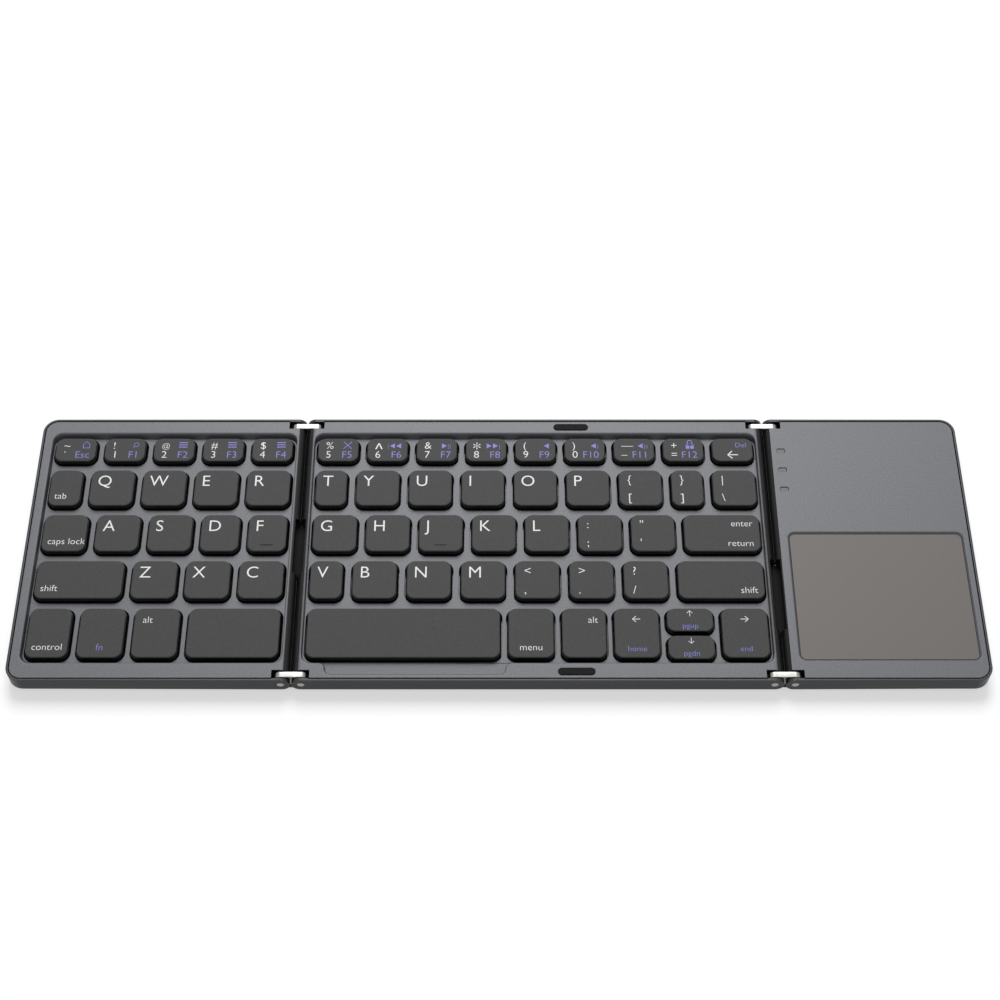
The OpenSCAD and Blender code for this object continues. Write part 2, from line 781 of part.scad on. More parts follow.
module bumper_plan(grow) {
    x = bumper_len / 2 + grow;
    y = bumper_w / 2 + grow;
    rounded_plan(-x, x, -y, y, y - 0.01, y - 0.01);
}

// The pads lie where the tips of the two folded panels meet, in the middle of the front and back rims
module bumper_places() {
    y = (lip_t + groove_w + rim_front) / 2 - 0.4;
    for (at = [front + y, back - y]) translate([tip_x, at, 0]) children();
}

module bumper_pads() {
    color(rubber_color) on_feet() bumper_places()
        translate([0, 0, panel_t - bumper_up]) linear_extrude(2 * bumper_up) bumper_plan(0);
}

// Left panel

module left_top_frame() {
    color(case_color) on_feet() key_frame(left_panel, left_well, left_keys, left_screw_places);
}

module left_bottom_cover() {
    color(case_color) on_feet() bottom_cover(left_panel, left_screw_places, left_foot_places);
}

module left_key_board() {
    key_board(left_panel, left_screw_places);
}

module left_rubber_domes() {
    rubber_domes(left_keys);
}

module left_scissor_supports() {
    scissor_supports(left_keys);
}

module left_feet() {
    feet(left_foot_places);
}

module left_screws() {
    screws(left_screw_places);
}

module left_hinge_pins() {
    hinge_pins(left_panel);
}

// Right panel

// Runs its children's code at each indicator window
module at_lenses() {
    for (n = [0:2]) translate([right_hinge + lens_x, back - lens_back - n * lens_pitch, 0]) children();
}

module lens_plan(grow) {
    x = lens_w / 2 + grow;
    y = lens_d / 2 + grow;
    rounded_plan(-x, x, -y, y, 0.5, 0.5);
}

// Flat cover with the touchpad's opening and the indicator windows. It ends in a sharp edge part way
// over the round hinge edge.
module right_top_cover() {
    cover_inset = lip_t + groove_w;
    pad_edges = [pad_x0, pad_x1, pad_y0, pad_y1];
    color(case_color) on_feet() difference() {
        union() {
            difference() {
                translate([0, 0, mid_z])
                    linear_extrude(panel_t - mid_z) panel_plan(right_panel, cover_inset, 0);
                translate([0, 0, mid_z - 1]) linear_extrude(panel_t - plate_t - mid_z + 1)
                    rounded_plan(
                        right_panel[0], right_panel[1] - cover_inset - ledge_w,
                        front + rim_front, back - rim_front, 0, outer_r - cover_inset - ledge_w
                    );
            }
            translate([right_panel[0] - roll_cover, front + notch_d, panel_t - 0.6])
                cube([roll_cover, total_d - 2 * notch_d, 0.6]);
            at_hinge_ends(right_panel) {
                round_edge(true);
                cable_core();
            }
            posts(right_screw_places, panel_t - plate_t);
        }
        translate([0, 0, mid_z]) linear_extrude(panel_t) even_plan(pad_edges, pad_play, pad_r + pad_play);
        translate([0, 0, panel_t - pad_drop])
            tapered_opening([pad_edges[0] - pad_play, pad_edges[1] + pad_play,
                pad_edges[2] - pad_play, pad_edges[3] + pad_play], pad_drop, pad_r, pad_drop);
        at_lenses() linear_extrude(panel_t + 1) lens_plan(0);
        along_y(back - rim_front - 1, back + 1) socket_plan(socket_play);
        at_hinge_ends(right_panel) {
            link_pockets();
            cheek_room();
            pin_seats();
        }
        thread_holes(right_screw_places);
    }
}

// Opening that widens upwards, turned over from the block that widens downwards
module tapered_opening(edges, h, r, flare) {
    translate([0, 0, h]) mirror([0, 0, 1]) tapered_block(edges, h, r, flare);
}

module right_bottom_cover() {
    color(case_color) on_feet() difference() {
        bottom_cover(right_panel, right_screw_places, right_foot_places);
        along_y(back - 3, back + 1) socket_plan(socket_play);
    }
}

module touchpad_surface() {
    color("#6f6a65") on_feet() translate([0, 0, pad_seat])
        linear_extrude(panel_t - pad_drop - pad_seat) even_plan([pad_x0, pad_x1, pad_y0, pad_y1], 0, pad_r);
}

module touchpad_board() {
    under = pad_seat - pad_board_t;
    color(board_color) on_feet() {
        translate([0, 0, under]) linear_extrude(pad_board_t)
            even_plan([pad_x0, pad_x1, pad_y0, pad_y1], pad_board_over, pad_board_r);
        translate([(pad_x0 + pad_x1 - pad_chip) / 2, (pad_y0 + pad_y1 - pad_chip) / 2, under - pad_chip_t])
            cube([pad_chip, pad_chip, pad_chip_t + sunk]);
    }
}

// L-shaped board along the hinge and the back edge, with the controller, the wireless module and a light
// under each indicator window. The flat cable of the right hinge ends on it.
module main_board() {
    arm_x1 = main_board_x0 + board_arm_w;
    arm_y1 = main_board_y1 - board_arm_d;
    arm_end = socket_x + socket_from_arm - battery_room;
    chip_x = arm_x1 - main_chip - main_chip_edge;
    color(board_color) on_feet() translate([0, 0, floor_t]) {
        translate([main_board_x0, right_sleeve[0], 0])
            cube([board_arm_w, hinge_arm_y1 - right_sleeve[0], board_t]);
        translate([arm_x1 - sunk, arm_y1, 0]) cube([arm_end + sunk - arm_x1, board_arm_d, board_t]);
        for (y = [pad_y1 + battery_wall_room, hinge_arm_y1 - main_chip])
            translate([chip_x, y, board_t - sunk]) cube([main_chip, main_chip, main_chip_t]);
    }
    color(board_color) on_feet() at_lenses() translate([-lens_d * 0.35, -light_d / 2, board_top - sunk])
        cube([light_w, light_d, light_t + sunk]);
}

module indicator_lenses() {
    lens_foot = board_top + light_t + lens_room;
    color("#c8c9cc") on_feet() at_lenses()
        translate([0, 0, lens_foot]) linear_extrude(panel_t - lens_drop - lens_foot) lens_plan(-lens_room);
}

module battery() {
    color("#b9bcc0") on_feet() translate([0, 0, floor_t])
        linear_extrude(battery_t) rounded_plan(battery_x0, battery_x1, battery_y0, battery_y1, 1.5, 1.5);
}

// Outline of the charging socket as seen from the back, drawn in X and Z
module socket_plan(grow) {
    rounded_plan(
        socket_x - socket_w / 2 - grow, socket_x + socket_w / 2 + grow,
        board_top - grow, board_top + socket_h + grow, 0.6, 0.6
    );
}

// Charging socket: a folded metal shell with a tongue inside
module charging_socket() {
    y1 = back - socket_back;
    color(steel_color) on_feet() {
        difference() {
            along_y(y1 - socket_len, y1) socket_plan(0);
            along_y(y1 - socket_len + 0.6, y1 + 1) socket_plan(-socket_wall);
        }
        translate([socket_x - socket_w * 0.3, y1 - socket_len + 0.1,
            board_top + (socket_h - socket_tongue_t) / 2])
            cube([socket_w * 0.6, socket_len - 1.2, socket_tongue_t]);
    }
}

module right_feet() {
    feet(right_foot_places);
}

module right_screws() {
    screws(right_screw_places);
}

module right_hinge_pins() {
    hinge_pins(right_panel);
}

// Hinges

module left_hinge_links() {
    hinge_links(left_hinge);
}

module left_cable_sleeve() {
    cable_sleeve(left_hinge, left_sleeve);
}

module left_flat_cable() {
    flat_cable(left_hinge, left_sleeve);
}

module right_hinge_links() {
    hinge_links(right_hinge);
}

module right_cable_sleeve() {
    cable_sleeve(right_hinge, right_sleeve);
}

module right_flat_cable() {
    flat_cable(right_hinge, right_sleeve);
}

// Keys of the left panel

module key_control() {
    key_run(left_keys, 0, 0, 0);
}

module key_function() {
    key_run(left_keys, 0, 1, 1);
}

module key_left_alt() {
    key_run(left_keys, 0, 2, 2);
}

module key_left_space() {
    key_run(left_keys, 0, 3, 3);
}

module key_left_shift() {
    key_run(left_keys, 1, 0, 0);
}

module keys_z_to_c() {
    key_run(left_keys, 1, 1, 3);
}

module key_caps_lock() {
    key_run(left_keys, 2, 0, 0);
}

module keys_a_to_f() {
    key_run(left_keys, 2, 1, 4);
    homing_bar(key_top(left_keys, 2, 4));
}

module key_tab() {
    key_run(left_keys, 3, 0, 0);
}

module keys_q_to_r() {
    key_run(left_keys, 3, 1, 4);
}

module keys_escape_to_4() {
    key_run(left_keys, 4, 0, 4);
}

// Keys of the centre panel

module key_space_bar() {
    key_run(centre_keys, 0, 0, 0);
}

module key_menu() {
    key_run(centre_keys, 0, 1, 1);
}

module key_right_alt() {
    key_run(centre_keys, 0, 2, 2);
}

module key_arrow_left() {
    key_run(centre_keys, 0, 3, 3);
}

module key_arrow_up() {
    key_cap(arrow_up_top);
}

module key_arrow_down() {
    key_cap(arrow_down_top);
}

module key_arrow_right() {
    key_run(centre_keys, 0, 5, 5);
}

module keys_v_to_slash() {
    key_run(centre_keys, 1, 0, 6);
}

module key_right_shift() {
    key_run(centre_keys, 1, 7, 7);
}

module keys_g_to_quote() {
    key_run(centre_keys, 2, 0, 6);
    homing_bar(key_top(centre_keys, 2, 2));
}

module key_enter() {
    key_run(centre_keys, 2, 7, 7);
}

module keys_t_to_backslash() {
    key_run(centre_keys, 3, 0, 8);
}

module keys_5_to_equals() {
    key_run(centre_keys, 4, 0, 7);
}

module key_backspace() {
    key_run(centre_keys, 4, 8, 8);
}

centre_top_frame();
centre_bottom_cover();
centre_key_board();
centre_rubber_domes();
centre_scissor_supports();
centre_feet();
centre_screws();
centre_hinge_pins();
bumper_pads();
left_top_frame();
left_bottom_cover();
left_key_board();
left_rubber_domes();
left_scissor_supports();
left_feet();
left_screws();
left_hinge_pins();
right_top_cover();
right_bottom_cover();
touchpad_surface();
touchpad_board();
main_board();
indicator_lenses();
battery();
charging_socket();
right_feet();
right_screws();
right_hinge_pins();
left_hinge_links();
left_cable_sleeve();
left_flat_cable();
right_hinge_links();
right_cable_sleeve();
right_flat_cable();
key_control();
key_function();
key_left_alt();
key_left_space();
key_left_shift();
keys_z_to_c();
key_caps_lock();
keys_a_to_f();
key_tab();
keys_q_to_r();
keys_escape_to_4();
key_space_bar();
key_menu();
key_right_alt();
key_arrow_left();
key_arrow_up();
key_arrow_down();
key_arrow_right();
keys_v_to_slash();
key_right_shift();
keys_g_to_quote();
key_enter();
keys_t_to_backslash();
keys_5_to_equals();
key_backspace();
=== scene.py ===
import json
import math

import bmesh
import bpy
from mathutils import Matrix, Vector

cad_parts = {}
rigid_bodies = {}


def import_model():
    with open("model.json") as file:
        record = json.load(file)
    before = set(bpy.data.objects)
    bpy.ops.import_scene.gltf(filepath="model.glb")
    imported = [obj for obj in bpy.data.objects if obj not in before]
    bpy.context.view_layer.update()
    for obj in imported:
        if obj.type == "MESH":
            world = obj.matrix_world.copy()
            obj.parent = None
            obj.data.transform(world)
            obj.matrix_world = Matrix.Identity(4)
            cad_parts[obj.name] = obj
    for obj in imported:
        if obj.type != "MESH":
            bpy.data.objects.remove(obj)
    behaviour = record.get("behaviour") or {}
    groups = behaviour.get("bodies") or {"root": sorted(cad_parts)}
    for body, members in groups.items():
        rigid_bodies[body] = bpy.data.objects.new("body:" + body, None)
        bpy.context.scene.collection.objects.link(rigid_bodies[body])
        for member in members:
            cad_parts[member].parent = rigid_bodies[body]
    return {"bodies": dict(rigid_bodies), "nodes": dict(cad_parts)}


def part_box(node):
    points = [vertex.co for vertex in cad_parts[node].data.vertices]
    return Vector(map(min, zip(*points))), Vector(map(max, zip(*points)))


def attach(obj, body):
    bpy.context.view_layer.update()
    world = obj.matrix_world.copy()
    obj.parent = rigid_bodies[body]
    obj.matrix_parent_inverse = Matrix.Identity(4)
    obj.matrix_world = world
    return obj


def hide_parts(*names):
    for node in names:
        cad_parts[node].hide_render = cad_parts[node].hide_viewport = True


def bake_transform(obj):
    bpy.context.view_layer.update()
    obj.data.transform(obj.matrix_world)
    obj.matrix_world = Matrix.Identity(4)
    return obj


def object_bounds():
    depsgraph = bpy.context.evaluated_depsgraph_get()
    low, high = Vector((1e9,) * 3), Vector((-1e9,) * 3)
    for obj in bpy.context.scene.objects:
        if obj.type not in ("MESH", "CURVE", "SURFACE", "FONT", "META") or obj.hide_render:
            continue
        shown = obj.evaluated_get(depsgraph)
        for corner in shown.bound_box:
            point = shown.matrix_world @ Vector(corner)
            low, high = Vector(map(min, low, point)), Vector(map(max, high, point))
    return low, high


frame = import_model()
cad_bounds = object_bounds()
nodes = frame["nodes"]

# Camera
# It stands in front of the keyboard and looks down at it from 57.5 degrees, as in the photograph.
camera_place = (0.0003, -0.3073, 0.5154)
camera_tilt = math.radians(32.5)
bpy.ops.object.camera_add(location=camera_place, rotation=(camera_tilt, 0, 0))
camera = bpy.context.object
camera.name = "camera"
camera.data.sensor_width = 36
camera.data.lens = 66.5
bpy.context.scene.camera = camera

# Studio
# A white paper floor under one large soft lamp. The lamp hangs behind the keyboard, so that walls that
# face the front are the darker ones and the shadow reaches a few millimetres to the front. The paper is
# painted dark, as painted shade, only where it shows through the two narrow hinge gaps, which are black in
# the photograph.
bpy.context.scene.view_settings.view_transform = "Standard"


def linear(colour):
    """Linear colour of an sRGB hex value such as #8a8a8e"""
    channels = [int(colour[at:at + 2], 16) / 255 for at in (1, 3, 5)]
    return [c / 12.92 if c <= 0.04045 else ((c + 0.055) / 1.055) ** 2.4 for c in channels] + [1]


def add_node(tree, kind, settings=None, links=None):
    """Adds a node, gives its inputs and properties their settings, and links its inputs"""
    node = tree.nodes.new(kind)
    for name, value in (settings or {}).items():
        if isinstance(name, int) or name in node.inputs:
            node.inputs[name].default_value = value
        else:
            setattr(node, name, value)
    for name, source in (links or {}).items():
        tree.links.new(source, node.inputs[name])
    return node


def seen_directly(tree):
    """1 where a ray comes from the camera, a reflection or a clear part, and 0 for light on the object"""
    path = add_node(tree, "ShaderNodeLightPath")
    straight = add_node(tree, "ShaderNodeMath", {"operation": "MAXIMUM"},
                        {0: path.outputs["Is Camera Ray"], 1: path.outputs["Is Glossy Ray"]})
    return add_node(tree, "ShaderNodeMath", {"operation": "MAXIMUM"},
                    {0: straight.outputs[0], 1: path.outputs["Is Transmission Ray"]}).outputs[0]


world = bpy.data.worlds.new("studio")
bpy.context.scene.world = world
world.use_nodes = True
sky = world.node_tree
sky.nodes.clear()
room_light = add_node(sky, "ShaderNodeBackground", {"Color": linear("#fbfcff"), "Strength": 0.28})
backdrop = add_node(sky, "ShaderNodeBackground", {"Color": (1, 1, 1, 1), "Strength": 1})
sky_mix = add_node(sky, "ShaderNodeMixShader", links={0: seen_directly(sky), 1: room_light.outputs[0],
                                                      2: backdrop.outputs[0]})
add_node(sky, "ShaderNodeOutputWorld", links={"Surface": sky_mix.outputs[0]})

hinges = [(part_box(f"{side}_hinge_links")[0].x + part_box(f"{side}_hinge_links")[1].x) / 2
          for side in ("left", "right")]
# Half the width of a strip of painted gap shade, and its length as a share of the keyboard's depth
gap_half = 0.0009
gap_length = 0.98
lamp_place = (0, 1.6, 1.8)
lamp_size = 1.3
bpy.ops.object.light_add(type="AREA", location=lamp_place,
                         rotation=(-math.atan2(lamp_place[1], lamp_place[2]), 0, 0))
lamp = bpy.context.object
lamp.name = "soft_lamp"
lamp.data.size = lamp_size
lamp.data.energy = 43

bpy.ops.mesh.primitive_plane_add(size=6)
floor = bpy.context.object
floor.name = "paper_floor"
paper = bpy.data.materials.new("white_paper")
paper.use_nodes = True
tree = paper.node_tree
tree.nodes.clear()
direct = seen_directly(tree)
# The strips of floor under the hinge gaps, which get painted shade
place = add_node(tree, "ShaderNodeTexCoord")
spot = add_node(tree, "ShaderNodeSeparateXYZ", links={0: place.outputs["Object"]})
gaps = [add_node(tree, "ShaderNodeMath", {"operation": "COMPARE", 1: hinge, 2: gap_half},
                 {0: spot.outputs[0]}).outputs[0] for hinge in hinges]
any_gap = add_node(tree, "ShaderNodeMath", {"operation": "MAXIMUM"}, {0: gaps[0], 1: gaps[1]})
along = add_node(tree, "ShaderNodeMath", {"operation": "COMPARE", 1: 0, 2: cad_bounds[1].y * gap_length},
                 {0: spot.outputs[1]})
strip = add_node(tree, "ShaderNodeMath", {"operation": "MULTIPLY"},
                 {0: any_gap.outputs[0], 1: along.outputs[0]})
# The painted shade fades with the ambient occlusion: a folded hinge leaves its strip of floor open, and it is
# white again there
openness = add_node(tree, "ShaderNodeAmbientOcclusion", {"samples": 16, "Distance": 0.01})
covered = add_node(tree, "ShaderNodeMapRange",
                   {"From Min": 0.25, "From Max": 0.42, "To Min": 1, "To Max": 0},
                   {"Value": openness.outputs["AO"]})
gap_shade = add_node(tree, "ShaderNodeMath", {"operation": "MULTIPLY"},
                  {0: strip.outputs[0], 1: covered.outputs[0]})
outside_gap_shade = add_node(tree, "ShaderNodeMath", {"operation": "SUBTRACT", 0: 1}, {1: gap_shade.outputs[0]})
# The paper is lifted to white, and more so far away
far = add_node(tree, "ShaderNodeVectorMath", {"operation": "LENGTH"}, {0: place.outputs["Object"]})
whiter = add_node(tree, "ShaderNodeMapRange",
                  {"From Min": 0.3, "From Max": 0.8, "To Min": 0.36, "To Max": 1},
                  {"Value": far.outputs["Value"]})
# 1c1c1d is the painted shade of the paper in the hinge gaps
paper_and_gap_shade = add_node(tree, "ShaderNodeMix",
                      {"data_type": "RGBA", 6: linear("#1c1c1d"), 7: (1, 1, 1, 1)}, {0: outside_gap_shade.outputs[0]})
shade = add_node(tree, "ShaderNodeMix", {"data_type": "RGBA", 6: linear("#b0b0b0")},
                 {0: direct, 7: paper_and_gap_shade.outputs[2]})
matt = add_node(tree, "ShaderNodeBsdfDiffuse", links={"Color": shade.outputs[2]})
glow = add_node(tree, "ShaderNodeMath", {"operation": "MULTIPLY", 1: 1.5}, {0: direct})
lift = add_node(tree, "ShaderNodeEmission", {"Color": (1, 1, 1, 1)}, {"Strength": glow.outputs[0]})
share = add_node(tree, "ShaderNodeMath", {"operation": "MULTIPLY"},
                 {0: outside_gap_shade.outputs[0], 1: whiter.outputs[0]})
part_lift = add_node(tree, "ShaderNodeMixShader", links={0: share.outputs[0], 1: matt.outputs[0],
                                                         2: lift.outputs[0]})
add_node(tree, "ShaderNodeOutputMaterial", links={"Surface": part_lift.outputs[0]})
floor.data.materials.append(paper)

# Bottom covers
# Three dark grey trays of blasted and anodised aluminium, their grey made darker partly as painted shade on
# the walls that face the front. Each has a lip round its outer edge, cheeks that hold the hinge pins and half
# of each round hinge edge.
mm = 0.001


def new_finish(name, settings):
    """A material with one shader, as the material, its node tree and the shader"""
    material = bpy.data.materials.new(name)
    material.use_nodes = True
    tree = material.node_tree
    tree.nodes.clear()
    shader = add_node(tree, "ShaderNodeBsdfPrincipled", settings)
    add_node(tree, "ShaderNodeOutputMaterial", links={"Surface": shader.outputs[0]})
    return material, tree, shader


def add_grain(finish, grain, dark, light, depth, stretch=(1, 1, 1)):
    """Gives a finish grains of a size in millimetres that run from a dark to a light colour"""
    material, tree, shader = finish
    place = add_node(tree, "ShaderNodeTexCoord")
    turned = add_node(tree, "ShaderNodeMapping", {"Scale": stretch}, {"Vector": place.outputs["Object"]})
    noise = add_node(tree, "ShaderNodeTexNoise", {"Scale": 1 / (grain * mm), "Detail": 2.5},
                     {"Vector": turned.outputs[0]})
    spread = add_node(tree, "ShaderNodeMapRange", {"From Min": 0.3, "From Max": 0.7},
                      {"Value": noise.outputs["Fac"]})
    colour = add_node(tree, "ShaderNodeMix", {"data_type": "RGBA", 6: linear(dark), 7: linear(light)},
                      {0: spread.outputs[0]})
    tree.links.new(colour.outputs[2], shader.inputs["Base Color"])
    relief = add_node(tree, "ShaderNodeBump", {"Strength": 0.6, "Distance": depth * mm},
                      {"Height": noise.outputs["Fac"]})
    tree.links.new(relief.outputs["Normal"], shader.inputs["Normal"])
    return material


def merged_copy(node, name, cuts=()):
    """A new piece with the mesh of a CAD node, its triangles merged into whole faces. A face with holes
    is cut through them first, at places along X, Y or Z, so that its parts have none."""
    piece = bpy.data.objects.new(name, nodes[node].data.copy())
    bpy.context.scene.collection.objects.link(piece)
    bpy.ops.object.select_all(action="DESELECT")
    piece.select_set(True)
    bpy.context.view_layer.objects.active = piece
    bpy.ops.mesh.customdata_custom_splitnormals_clear()
    bpy.ops.object.mode_set(mode="EDIT")
    bpy.ops.mesh.select_all(action="SELECT")
    bpy.ops.mesh.remove_doubles(threshold=0.002 * mm)
    for axis, place in cuts:
        bpy.ops.mesh.select_all(action="SELECT")
        bpy.ops.mesh.bisect(plane_co=(place, place, place),
                            plane_no=(axis == "x", axis == "y", axis == "z"))
        bpy.ops.mesh.mark_seam()
    bpy.ops.mesh.select_all(action="SELECT")
    bpy.ops.mesh.dissolve_limited(angle_limit=math.radians(0.5), delimit={"SEAM"})
    bpy.ops.mesh.select_all(action="SELECT")
    bpy.ops.mesh.mark_seam(clear=True)
    bpy.ops.object.mode_set(mode="OBJECT")
    return piece


def smooth(piece):
    """Shades a piece smooth over its rounded edges and keeps its flat faces flat"""
    bpy.ops.object.select_all(action="DESELECT")
    piece.select_set(True)
    bpy.context.view_layer.objects.active = piece
    bpy.ops.object.shade_smooth_by_angle(angle=math.radians(35))
    bpy.ops.object.modifier_add(type="WEIGHTED_NORMAL")
    piece.modifiers[-1].keep_sharp = True
    bpy.ops.object.modifier_apply(modifier=piece.modifiers[-1].name)


def round_edges(piece, radius_at, segments=2):
    """Rounds the sharp edges of a piece. radius_at gives the radius in millimetres for an edge."""
    shape = bmesh.new()
    shape.from_mesh(piece.data)
    weights = shape.edges.layers.float.new("bevel_weight_edge")
    for edge in shape.edges:
        if len(edge.link_faces) == 2 and edge.calc_face_angle(0) > math.radians(30):
            edge[weights] = radius_at(edge)
    shape.to_mesh(piece.data)
    shape.free()
    bpy.context.view_layer.objects.active = piece
    bpy.ops.object.modifier_add(type="BEVEL")
    rounding = piece.modifiers[-1]
    rounding.limit_method = "WEIGHT"
    rounding.width = 1 * mm
    rounding.segments = segments
    rounding.use_clamp_overlap = False
    bpy.ops.object.modifier_apply(modifier=rounding.name)
    smooth(piece)


def dress(piece, finish, slot, body, *replaced):
    """Gives a finished piece its material, and fits it to a body in place of CAD nodes; its slot is not used
    """
    piece.data.materials.clear()
    piece.data.materials.append(finish)
    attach(piece, body)
    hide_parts(*replaced)


# Blasted and anodised aluminium: a dark satin grey with a fine grain, darker partly as painted shade on the
# front walls
tray_grey_and_shade = add_grain(new_finish("anodised_aluminium_and_shade", {"Metallic": 0.55, "Roughness": 0.42}),
                     0.35, "#2a2b2e", "#353639", 0.004)

# Black ABS as painted shade: the round hinge edges and the pockets of the links are made black where shade
# falls in the hinge gaps and in the pockets
hinge_shade_black = add_grain(new_finish("hinge_shade_black", {"Roughness": 0.4, "Specular IOR Level": 0.25}), 0.5,
                      "#0f0f10", "#161617", 0.003)

back_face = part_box("left_bottom_cover")[1].y
ridge_from_hinge = 2.5
pocket_half = 5.85
pocket_from_face = (0.95, 3.8)
foot_r = 4.0
screw_head_r = 1.2


def paint_hinge_shade(piece, round_edge=True):
    """Gives a black finish, as painted shade, to the round hinge edges of a piece and to its link pockets"""
    piece.data.materials.append(hinge_shade_black)
    for face in piece.data.polygons:
        across = min(abs(face.center.x - hinge) for hinge in hinges) / mm
        along = (back_face - abs(face.center.y)) / mm
        in_pocket = across < pocket_half and pocket_from_face[0] < along < pocket_from_face[1]
        if (round_edge and across < ridge_from_hinge) or (in_pocket and face.normal.z < 0.9):
            face.material_index = 1


def rows_of(node, radius):
    """Places along Y of the front and the back row of round holes for the pieces in a node"""
    low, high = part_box(node)
    return [("y", low.y + radius * mm), ("y", high.y - radius * mm)]


panel_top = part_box("left_bottom_cover")[1].z
panel_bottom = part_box("left_bottom_cover")[0].z
tray_foot_edge = 0.55
tray_lip_edge = 0.16


def tray_radius(edge):
    """The outer edges are well rounded at the bottom and lightly at the top"""
    heights = [v.co.z for v in edge.verts]
    if max(heights) < panel_bottom + 0.01 * mm and is_outer(edge):
        return tray_foot_edge
    return tray_lip_edge if min(heights) > panel_top - 0.01 * mm else 0


def is_outer(edge):
    """True on the front, back, left and right faces of the whole keyboard"""
    return all(any(abs(v.co[axis] - cad_bounds[end][axis]) < 5 * mm for end in (0, 1) for axis in (0, 1))
               for v in edge.verts) and any(abs(face.normal.z) < 0.1 for face in edge.link_faces)


for side, body in (("left", "left_panel"), ("centre", "centre_panel"), ("right", "right_panel")):
    pin_low, pin_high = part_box(f"{side}_hinge_pins")
    holes = rows_of(f"{side}_feet", foot_r) + rows_of(f"{side}_screws", screw_head_r)
    holes.append(("z", (pin_low.z + pin_high.z) / 2))
    tray = merged_copy(f"{side}_bottom_cover", f"{side}_tray", holes)
    round_edges(tray, tray_radius)
    dress(tray, tray_grey_and_shade, "bottom_shell", body, f"{side}_bottom_cover")
    paint_hinge_shade(tray, round_edge=False)

# Boards
# Dark green solder-masked circuit boards: one under each block of keys, one behind the touchpad and the
# L-shaped main board with its chips. They lie on the floors of the trays and are shown as the CAD made them.
solder_mask = new_finish("solder_mask", {"Roughness": 0.32, "Coat Weight": 0.3})
board_green = add_grain(solder_mask, 1.2, "#0b1a11", "#15301e", 0.01, (1, 0.12, 1))


def paint(node, finish):
    """Gives its material to a CAD node that is shown as it is"""
    nodes[node].data.materials.clear()
    nodes[node].data.materials.append(finish)


for board in ("left_key_board", "centre_key_board", "touchpad_board", "main_board"):
    paint(board, board_green)

# Rubber domes
# Moulded silicone cups, one under each key, which push the key up again. The domes under the keys of a
# node are one piece. In the keyboard they are fixed to the board at their foot and squeezed as the keys go
# down; here they stay as they stand at rest.
silicone = add_grain(new_finish("moulded_silicone", {"Roughness": 0.5, "Subsurface Weight": 0.15,
                                                     "Subsurface Radius": (0.002, 0.002, 0.002)}),
                     0.6, "#8e8e90", "#a4a4a6", 0.006)
key_nodes = sorted(name for name in nodes if name.startswith("key"))
key_nodes = [name for name in key_nodes if name + "_body" in frame["bodies"]]


def pick(piece, kind, test):
    """Opens a piece in edit mode and selects the vertices, edges or faces that pass a test"""
    bpy.ops.object.select_all(action="DESELECT")
    piece.select_set(True)
    bpy.context.view_layer.objects.active = piece
    bpy.ops.object.mode_set(mode="EDIT")
    bpy.ops.mesh.select_mode(type=kind)
    bpy.ops.mesh.select_all(action="DESELECT")
    shape = bmesh.from_edit_mesh(piece.data)
    for item in {"VERT": shape.verts, "EDGE": shape.edges, "FACE": shape.faces}[kind]:
        if test(item):
            item.select_set(True)
    bmesh.update_edit_mesh(piece.data)


def squeezed(source, part, key, panel, finish):
    """The part of a bare copy of the domes or scissors that lies under the keys of a node"""
    piece = bpy.data.objects.new(f"{part}_{key}", source.data.copy())
    bpy.context.scene.collection.objects.link(piece)
    low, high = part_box(key)
    pick(piece, "VERT", lambda vertex: not all(low[axis] < vertex.co[axis] < high[axis] for axis in (0, 1)))
    bpy.ops.mesh.delete(type="VERT")
    bpy.ops.object.mode_set(mode="OBJECT")
    smooth(piece)
    piece.data.materials.append(finish)
    node = f"{panel.split('_')[0]}_{part}"
    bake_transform(piece)
    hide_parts(node)


def squeezed_under_keys(part, finish):
    """All the domes or all the scissors, as one piece for each key node"""
    for panel in ("left_panel", "centre_panel"):
        node = f"{panel.split('_')[0]}_{part}"
        bare = merged_copy(node, node + "_bare")
        bare.data.materials.clear()
        for key in key_nodes:
            if (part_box(key)[1].x < hinges[0]) == (panel == "left_panel"):
                squeezed(bare, part, key, panel, finish)
        bpy.data.objects.remove(bare)


squeezed_under_keys("rubber_domes", silicone)

# Scissor supports
# Two crossed rings of white acetal under each key, moulded, with a waxy gloss. In the keyboard they fold
# flat as the keys go down; here they stay as they stand at rest.
acetal = add_grain(new_finish("moulded_acetal", {"Roughness": 0.34}), 0.8, "#cfcfc9", "#dedfd9", 0.004)
squeezed_under_keys("scissor_supports", acetal)

# Battery
# A flat cell in a pouch of aluminium foil, which crinkles a little at its skin. It lies in the right tray.
foil = add_grain(new_finish("pouch_foil", {"Metallic": 0.9, "Roughness": 0.36}),
                 3, "#9fa2a6", "#c0c3c6", 0.12)
paint("battery", foil)

# Charging socket
# Its shell is folded from nickel-plated sheet steel and soldered to the main board.
plated_steel = add_grain(new_finish("nickel_plated_steel", {"Metallic": 1, "Roughness": 0.25}),
                         0.5, "#b0aeaa", "#c6c4c0", 0.003)
paint("charging_socket", plated_steel)

# Key frames
# Moulded ABS under a grey lacquer with fine metal flakes. A rim stands round the sunken well, and the web
# at its floor has a hole for each key. The well's walls slope in towards the keys.
lacquer_finish = new_finish("metallic_lacquer", {"Metallic": 0.4, "Roughness": 0.48})
lacquer = add_grain(lacquer_finish, 0.5, "#515255", "#606165", 0.006)

frame_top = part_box("left_top_frame")[1].z
well_edge = 0.42
rim_edge = 0.13
well_depth = 2.0 * mm
web_top = frame_top - well_depth
end_slope = 0.4
front_slope = 0.85
back_slope = 1.1
hinge_slope = 0.12


def is_well_foot(vertex):
    """True where a wall of the well meets its floor"""
    return abs(vertex.co.z - web_top) < 0.02 * mm and any(
        edge.other_vert(vertex).co.z > web_top + 0.5 * mm for edge in vertex.link_edges)


